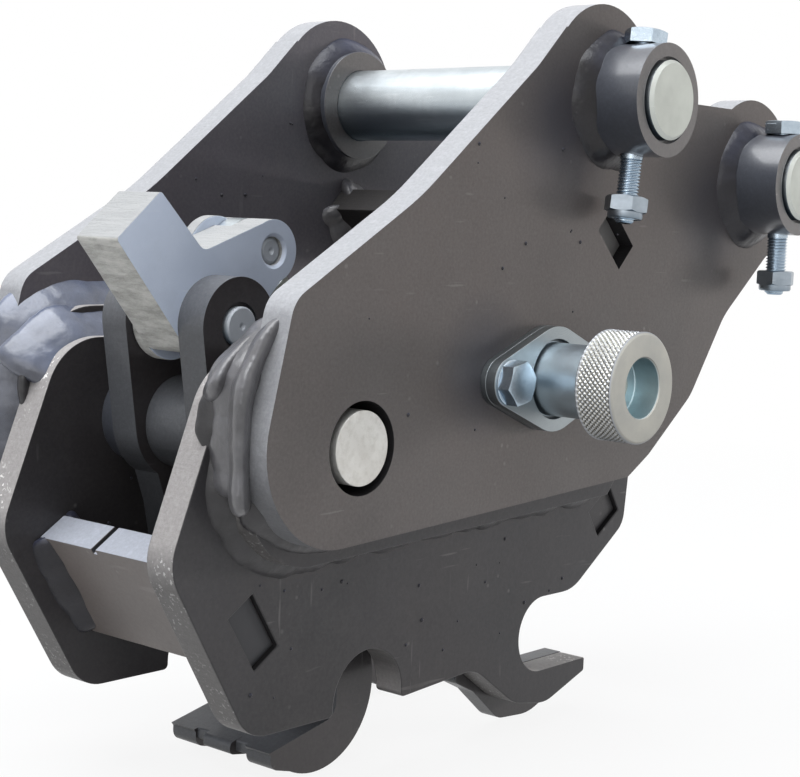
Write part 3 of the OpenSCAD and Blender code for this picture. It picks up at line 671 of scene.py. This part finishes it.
def retaining_bolt(which, pin, lean, turn):
    """Hex bolt through a boss, with its lock nut on the bare thread below.

    It leans off the vertical by lean degrees, and its flats are turned by turn radians. Along it, 0
    is the pin's axis and up is positive."""
    bolt, nut = which + "_bolt", which + "_nut"
    up = Vector((math.sin(math.radians(lean)), 0, math.cos(math.radians(lean))))
    middle = (pin.x, -Y_OUT - BOLT_OUT[which], pin.z)
    place = placement(middle, up, (math.cos(turn), math.sin(turn), 0))
    body = hex_head(M10_ACROSS, 0.0064)
    body.transform(Matrix.Translation((0, 0, BOSS_R)))
    merge_into(body, rod(M10_R, -0.0265, BOSS_R + 0.0005, 48))
    merge_into(body, lathe([(0, -0.0549), (0.0034, -0.0549), (0.00425, -0.0541), (0.00425, -0.026),
                            (0, -0.026)], 48))
    merge_into(body, thread(M10_R, 0.0015, 0.0285, -0.0545))
    body.transform(place)
    finish_piece(bolt + "_threaded", body, BOLT_ZINC, "frame", bolt)
    chamfers = lathe([(0, -0.0502), (0.0082, -0.0502), (0.0107, -0.0490), (0.0107, -0.0441),
                      (0.0081, -0.0430), (0, -0.0430)], 72)
    body = common_part(hexagon(M10_ACROSS, 0.0070, -0.050), chamfers)
    merge_into(body, lathe([(0.0062, -0.0495), (0.0079, -0.0500), (0.0079, -0.0522),
                            (0.0074, -0.0529), (0.0062, -0.0530)]))
    body.transform(place)
    finish_piece(nut + "_chamfered", body, DULL_ZINC, "frame", nut)
    ring = lathe([(0.0051, -0.0515), (0.0051, -0.0526), (0.0063, -0.0526), (0.0063, -0.0515),
                  (0.0051, -0.0515)])
    ring.transform(place)
    finish_piece(nut + "_insert", ring, NYLON, "frame")


retaining_bolt("stick", STICK, 7, 0.35)
retaining_bolt("link", LINK, 0, 0.9)


def flange_screw(name, side):
    """A screw of the lock's flange; its local Z points out of the near side."""
    at = Vector((LOCK.x + side * FLANGE_HALF, -Y_OUT - FLANGE_OUT, LOCK.z))
    turn = 0.3 * side
    bm = hex_head(M10_ACROSS, 0.0070)
    merge_into(bm, rod(0.0040, -0.0220, 0.0005, 32))
    merge_into(bm, lathe([(0.0040, -0.00002), (0.0097, -0.00002), (0.0097, 0.0008), (0.0092, 0.0011),
                          (0.0040, 0.0011), (0.0040, -0.00002)]))
    bm.transform(placement(at, (0, -1, 0), (math.cos(turn), 0, math.sin(turn))))
    finish_piece(name + "_chamfered", bm, BOLT_ZINC, "frame", name)


flange_screw("flange_bolt_front", -1)
flange_screw("flange_bolt_rear", 1)


def knurled_knob():
    """The pull knob: a diamond-knurled rim, a turned face and a deep counterbore."""
    low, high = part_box("pull_knob")
    length = high.y - low.y
    rim, bore, floor = 0.02375, 0.0128, length - 0.0125
    hole, recess_r, recess = 0.0060, 0.0166, 0.0040     # round the plunger, and behind the knob
    start, end, fade_over = 0.0010, length - 0.0010, 0.0006
    teeth, steps_per_tooth, rows = 60, 9, 66
    tooth_depth, tooth_lead = 0.00085, 0.0025
    profile = [(hole, recess), (recess_r, recess), (recess_r, 0.0), (rim - 0.0010, 0.0),
               (rim - 0.0004, 0.0008)]
    profile += [(rim, start + (end - start) * k / rows) for k in range(rows + 1)]
    profile += [(rim - 0.0004, length - 0.0006), (rim - 0.0010, length - 0.0001),
                (rim - 0.0014, length), (bore + 0.0006, length), (bore, length - 0.0006),
                (bore, floor + 0.0004), (bore - 0.0004, floor), (hole, floor), (hole, recess)]
    bm = lathe(profile, teeth * steps_per_tooth)
    for v in bm.verts:
        r = math.hypot(v.co.x, v.co.y)
        if r > rim - 0.0001 and start - 1e-6 <= v.co.z <= end + 1e-6:
            u = math.atan2(v.co.y, v.co.x) / (2 * math.pi) * teeth
            w = v.co.z / tooth_lead
            a = abs((u + w) % 1.0 - 0.5) * 2
            b = abs((u - w) % 1.0 - 0.5) * 2
            fade = min(1.0, (v.co.z - start) / fade_over, (end - v.co.z) / fade_over)
            depth = tooth_depth * max(0.0, fade) * (1.0 - min(a, b) ** 0.8)
            s = (r - depth) / r
            v.co.x *= s
            v.co.y *= s
    bm.transform(placement((LOCK.x, high.y, LOCK.z), (0, -1, 0)))
    finish_piece("knurled_pull_knob", bm, KNOB_ZINC, "plunger", "pull_knob", 34)


knurled_knob()


def turned_pin(name, chamfer, inset):
    """A pin of the hook with chamfered ends and a centre mark in each."""
    low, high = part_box(name)
    r, half, mid = (high.x - low.x) / 2, (high.y - low.y) / 2, (low + high) / 2
    end = [(0, half - 0.0012), (0.0006, half - 0.0009), (0.0016, half), (r - inset, half),
           (r, half - chamfer)]
    bm = lathe([(a, -b) for a, b in end] + [(a, b) for a, b in reversed(end)])
    bm.transform(placement(mid, (0, -1, 0)))
    finish_piece(name + "_turned", bm, PIN_STEEL, "hook", name, 30)


turned_pin("lever_pin", 0.0007, 0.0007)
turned_pin("clevis_pin", 0.0013, 0.0017)


# ---------------------------------------------------------------- weld beads
BEAD_STEP = 0.0021      # between the lumps that a bead is melted from


def outline(node, y):
    """The outer edge of a plate at one of its faces, as an ordered ring of points.

    It starts at the plate's rearmost corner and always goes the same way round, so that the beads
    come out the same in each run."""
    bm = bmesh.new()
    bm.from_mesh(nodes[node].data)
    bmesh.ops.remove_doubles(bm, verts=bm.verts, dist=0.00001)
    left = {e for e in bm.edges if all(abs(v.co.y - y) < 0.0002 for v in e.verts)
            and len(e.link_faces) == 2 and any(abs(f.normal.y) < 0.5 for f in e.link_faces)
            and any(abs(f.normal.y) > 0.5 for f in e.link_faces)}
    rings = []
    while left:
        first = left.pop()
        ring = [first.verts[0], first.verts[1]]
        while True:
            step = next((e for e in ring[-1].link_edges if e in left), None)
            if step is None:
                break
            left.discard(step)
            ring.append(step.other_vert(ring[-1]))
        rings.append([v.co.copy() for v in ring])
    bm.free()
    ring = max(rings, key=lambda r: sum((a - b).length for a, b in zip(r, r[1:])))[:-1]
    start = max(range(len(ring)), key=lambda k: (round(ring[k].x, 4), ring[k].z))
    ring = ring[start:] + ring[:start + 1]
    if sum(a.x * b.z - b.x * a.z for a, b in zip(ring, ring[1:])) < 0:
        ring.reverse()
    return ring


def even(path, spacing=BEAD_STEP):
    """Points along a polyline at an even spacing."""
    out = [path[0].copy()]
    need = spacing
    for a, b in zip(path, path[1:]):
        length = (b - a).length
        at = 0.0
        while length - at >= need:
            at += need
            out.append(a.lerp(b, at / length))
            need = spacing
        need -= length - at
    return out


def runs(ring, keep):
    """Stretches of a ring, evenly divided, whose points pass a test."""
    path = even(ring)
    out, now = [], []
    for p in path:
        if keep(p):
            now.append(p)
        elif now:
            out.append(now)
            now = []
    if now:
        if out and keep(path[0]) and (path[0] - path[-1]).length < 0.01:
            out[0] = now + out[0]
        else:
            out.append(now)
    return [r for r in out if len(r) > 3]


def round_path(centre, radius, y, start):
    """Points round a circle across Y, from start degrees, each with the way out from its middle."""
    n = max(8, int(math.radians(360.0) * radius / BEAD_STEP))
    path = []
    for k in range(n + 1):
        a = math.radians(start + 360.0 * k / n)
        p = Vector((centre.x + radius * math.cos(a), y, centre.z + radius * math.sin(a)))
        path.append((p, (p - Vector((centre.x, p.y, centre.z))).normalized()))
    return path


def weld(name, paths, leg, seed, out, wander, slot="plate_paint", ripple=0.60, broad=1.0, metal=WELD):
    """Fillet beads laid in the corner along each path and melted together.

    A path is (point, way out of the wall beside it) all along. The bead leans evenly on that wall
    and on the plate behind it, which faces out along Y, 1 or -1, or 0 where there is none. Its size
    wanders by that share of leg. Ripple is half a lump's length along the bead, as a share of its
    size, and broad widens it across."""
    bm = bmesh.new()
    for path in paths:
        for i, (p, side) in enumerate(path):
            q = path[min(i + 1, len(path) - 1)][0] - path[max(i - 1, 0)][0]
            if q.length < 1e-9:
                continue
            q.normalize()
            slow = noise.noise(p * 80.0 + Vector((seed * 3.1, 0, 0)))
            fast = noise.noise(p * 230.0 + Vector((0, seed * 1.7, 0)))
            s = leg * (1.0 + wander * (slow + 0.25 * fast))
            lean = (side + Vector((0, out, 0))).normalized()
            lump = Matrix.Diagonal((s * ripple, s * 0.88 * broad, s * 0.36, 1.0))
            bmesh.ops.create_icosphere(bm, subdivisions=2, radius=1.0,
                                       matrix=placement(p + lean * s * 0.22, lean, q) @ lump)
    mesh = bpy.data.meshes.new(name)
    bm.to_mesh(mesh)
    bm.free()
    obj = bpy.data.objects.new(name, mesh)
    scene.collection.objects.link(obj)
    melt = obj.modifiers.new("melt", "REMESH")
    melt.mode = "VOXEL"
    melt.voxel_size = 0.0009
    settle = obj.modifiers.new("settle", "SMOOTH")
    settle.factor = 0.5
    settle.iterations = 11
    bpy.context.view_layer.update()
    melted = bmesh.new()
    melted.from_object(obj, bpy.context.evaluated_depsgraph_get())
    bpy.data.objects.remove(obj)
    bpy.data.meshes.remove(mesh)
    finish_piece(name, melted, metal, "frame", smooth=80)


def inside(ring, p):
    """Whether a point lies inside a plate's outline, seen along Y."""
    hit = False
    for a, b in zip(ring, ring[1:]):
        if (a.z > p.z) != (b.z > p.z) and p.x < a.x + (p.z - a.z) / (b.z - a.z) * (b.x - a.x):
            hit = not hit
    return hit


def beside(ring, path):
    """Each point of a path with the way out of its own plate's edge there."""
    pairs = []
    for i, p in enumerate(path):
        q = path[min(i + 1, len(path) - 1)] - path[max(i - 1, 0)]
        n = Vector((q.z, 0, -q.x)).normalized()
        pairs.append((p, -n if inside(ring, p + n * 0.0008) else n))
    return pairs


def weld_side(side, word, seed, front_metal):
    """Every bead between the plates, bosses and collars of one side, -1 near or 1 far."""
    def seam(label, ring, paths, leg, number, out, wander, **settings):
        pairs = [beside(ring, path) for path in paths]
        weld(f"weld_{label}_{word}", pairs, leg, seed + number, out, wander, **settings)

    upper_in = outline("upper_plate_" + word, side * Y_UPPER)
    spacer_out = outline("spacer_" + word, side * Y_UPPER)
    spacer_in = outline("spacer_" + word, side * Y_SPACER)
    lower_out = outline("lower_plate_" + word, side * Y_SPACER)
    # along the foot of the upper plate
    bottom = runs(upper_in, lambda p: inside(spacer_out, p) and p.z < -0.12)
    seam("upper_to_spacer", upper_in, bottom, 0.0060, 0, side, 0.55, metal=DARK_FILLET)
    # a heavy bead up the front of the spacer
    top = runs(spacer_out, lambda p: inside(upper_in, p) and p.x < -0.10 and p.z > -0.17)
    seam("spacer_front", spacer_out, top, 0.0130, 1, -side, 0.15, ripple=0.46, broad=1.4,
         metal=front_metal)
    if side < 0:    # and one over the spacer's front edge
        middle_line = [p - Vector((0, side * PLATE / 2, 0)) for p in spacer_out]
        cap = runs(middle_line, lambda p: p.x < -0.165 and -0.158 < p.z < -0.100)
        seam("spacer_cap", middle_line, cap, 0.0118, 8, 0, 0.35, ripple=0.62, metal=front_metal)
    # along the foot of the spacer
    under = runs(spacer_in, lambda p: inside(lower_out, p) and p.z < -0.12)
    seam("spacer_to_lower", spacer_in, under, 0.0088, 2, side, 0.50, slot="plate_paint_cool",
         metal=DARK_FILLET)
    # a heavy bead up the front of the lower plate
    over = runs(lower_out, lambda p: inside(spacer_in, p) and p.x < -0.11 and p.z > -0.16)
    seam("lower_front", lower_out, over, 0.0134, 3, -side, 0.15, slot="plate_paint_cool", ripple=0.46,
         broad=1.3, metal=front_metal)
    for centre, label, more in ((STICK, "stick", 0), (LINK, "link", 1)):
        boss = round_path(centre, BOSS_R, side * Y_OUT, 80 * seed)
        weld(f"weld_{label}_boss_{word}", [boss], 0.0092, seed + 4 + more, side, 0.34,
             "boss_paint")
        collar = round_path(centre, COLLAR_R, side * Y_UPPER, 80 * seed)
        weld(f"weld_{label}_collar_{word}", [collar], 0.0094, seed + 6 + more, -side, 0.20,
             "boss_paint")


# the far front beads take the bluer copy of the same paint, a painted sky reflection
weld_side(-1, "near", 11, FILLET)
weld_side(1, "far", 23, BLUE_WELD)


def tie_beads(name, at, angle, length, seed, y, leg=0.0066, wander=0.45, metal=WELD):
    """Beads along both long edges of a tie plate, on the inner faces of the plates it joins."""
    a = math.radians(angle)
    along = Vector((math.cos(a), 0, math.sin(a)))
    across = Vector((-math.sin(a), 0, math.cos(a)))
    for side, word in ((-1, "near"), (1, "far")):
        paths = []
        for edge in (-1, 1):
            mid = at + across * edge * PLATE / 2 + Vector((0, side * y, 0))
            line = even([mid - along * length / 2, mid + along * length / 2])
            paths.append([(p, across * edge) for p in line])
        weld(f"{name}_{word}", paths, leg, seed + side, -side, wander, "plate_paint_cool",
             metal=metal)


front = math.radians(FRONT_LEAN)
front_shift = Vector((math.cos(front), 0, math.sin(front))) * -0.009    # it reaches up past its slot
tie_beads("weld_front_tie", FRONT_SLOT + front_shift, FRONT_LEAN, 0.044, 41, Y_INNER, 0.0092)
tie_beads("weld_rear_tie", REAR_SLOT, REAR_LEAN, 0.028, 43, Y_INNER)
tie_beads("weld_upper_tie", UPPER_SLOT, UPPER_LEAN, 0.034, 44, Y_UPPER, 0.0135, 1.0, FILLET)


def spatter():
    """Balls of weld spatter and paint nibs stuck to the plates."""
    rnd = random.Random(77)
    bm = bmesh.new()
    zones = (("upper_plate_near", -Y_OUT, (-0.20, 0.02), (-0.15, 0.02), 26),
             ("lower_plate_near", -Y_SPACER, (-0.19, 0.02), (-0.25, -0.20), 22),
             ("upper_plate_far", Y_UPPER, (-0.20, 0.05), (-0.16, 0.02), 26),
             ("lower_plate_far", Y_INNER, (-0.20, -0.05), (-0.24, -0.17), 14))
    clear = ((PIVOT, 0.024), (STICK, 0.040), (LINK, 0.040))
    for plate, y, across, up, count in zones:
        ring = outline(plate, y)
        for _ in range(count):
            p = Vector((rnd.uniform(*across), y, rnd.uniform(*up)))
            r = rnd.uniform(0.00035, 0.0010)
            if any(math.hypot(p.x - c.x, p.z - c.z) < away for c, away in clear):
                continue
            if not inside(ring, p):
                continue
            flattened = Matrix.Translation(p) @ Matrix.Diagonal((1, 0.7, 1, 1))
            bmesh.ops.create_icosphere(bm, subdivisions=3, radius=r, matrix=flattened)
    finish_piece("weld_spatter", bm, WELD, "frame", smooth=80)


spatter()


# ---------------------------------------------------------------- stage
WHITE = (1.0, 1.0, 1.0)


def seen(t):
    """1 for rays that show the surroundings, straight or mirrored, and 0 for those that light."""
    path = t.node("LightPath").outputs
    return t.most(path["Is Camera Ray"], t.most(path["Is Glossy Ray"], path["Is Transmission Ray"]))


def pale_floor(z):
    """A floor that glows white and keeps a little of the shadow under the part."""
    bm = bmesh.new()
    bmesh.ops.create_grid(bm, x_segments=2, y_segments=2, size=8.0,
                          matrix=Matrix.Translation((0, 0, z)))
    mesh = bpy.data.meshes.new("floor")
    bm.to_mesh(mesh)
    bm.free()
    m = bpy.data.materials.new("pale_floor")
    m.use_nodes = True
    t = Tree(m.node_tree)
    shader = m.node_tree.nodes["Principled BSDF"]
    t.put(shader.inputs["Base Color"], (0.74, 0.74, 0.74))
    t.put(shader.inputs["Roughness"], 0.9)
    glow = t.node("Emission", {"Color": WHITE, "Strength": 1.0})
    away = t.length(t.node("TexCoord").outputs["Object"])
    glowing = t.times(seen(t), t.blend(t.step(away, 0.45, 1.3), 0.88, 1.0))
    mixed = t.node("MixShader", {0: glowing, 1: shader.outputs[0], 2: glow.outputs[0]})
    t.put(m.node_tree.nodes["Material Output"].inputs["Surface"], mixed.outputs[0])
    mesh.materials.append(m)
    obj = bpy.data.objects.new("floor", mesh)
    scene.collection.objects.link(obj)


pale_floor(cad_box[0][2] - 0.0005)

world = bpy.data.worlds.new("studio")
scene.world = world
world.use_nodes = True
w = Tree(world.node_tree)
background = world.node_tree.nodes["Background"].inputs
height = w.part(w.node("TexCoord").outputs["Generated"], "Z")
sky = w.mix(w.step(height, -0.1, 0.95), (0.34, 0.36, 0.38), (0.86, 0.93, 1.0))
shown = seen(w)
w.put(background["Color"], w.mix(shown, sky, WHITE))
w.put(background["Strength"], w.blend(shown, 0.5, 1.0))

AIM = Vector((-0.03, 0.0, -0.13))      # about the middle of the part


def lamp(name, at, size, watts, colour, glossy=True):
    data = bpy.data.lights.new(name, "AREA")
    data.shape = "RECTANGLE"
    data.size, data.size_y = size
    data.energy = watts
    data.color = colour
    obj = bpy.data.objects.new(name, data)
    obj.location = at
    obj.rotation_euler = (AIM - Vector(at)).to_track_quat("-Z", "Y").to_euler()
    obj.visible_glossy = glossy
    scene.collection.objects.link(obj)


lamp("overhead", (-0.5, 0.1, 1.5), (1.6, 1.6), 44, (0.96, 0.98, 1.0))
lamp("front_left", (-1.7, -0.9, 0.5), (1.0, 1.4), 6.5, WHITE)
lamp("near_side", (1.0, -1.75, 0.85), (0.9, 0.9), 2, (1.0, 0.98, 0.96))
lamp("low_sun", (1.45, -0.72, -0.10), (0.26, 0.26), 23, (1.0, 0.97, 0.94), glossy=False)

camera = bpy.data.cameras.new("camera")
camera.sensor_width = 36.0
camera.sensor_fit = "HORIZONTAL"
camera.lens = 78.28
camera.clip_start = 0.01
eye = bpy.data.objects.new("camera", camera)
right, down, ahead = (0.6556, -0.7542, 0.0382), (-0.0476, -0.0918, -0.9946), (0.7536, 0.6502, -0.0961)
turn = Matrix((right, [-v for v in down], [-v for v in ahead])).transposed().to_4x4()
turn.translation = Vector((-0.6605, -0.5381, -0.0571))
eye.matrix_world = turn
scene.collection.objects.link(eye)
scene.camera = eye
scene.view_settings.view_transform = "Standard"

bpy.context.view_layer.update()
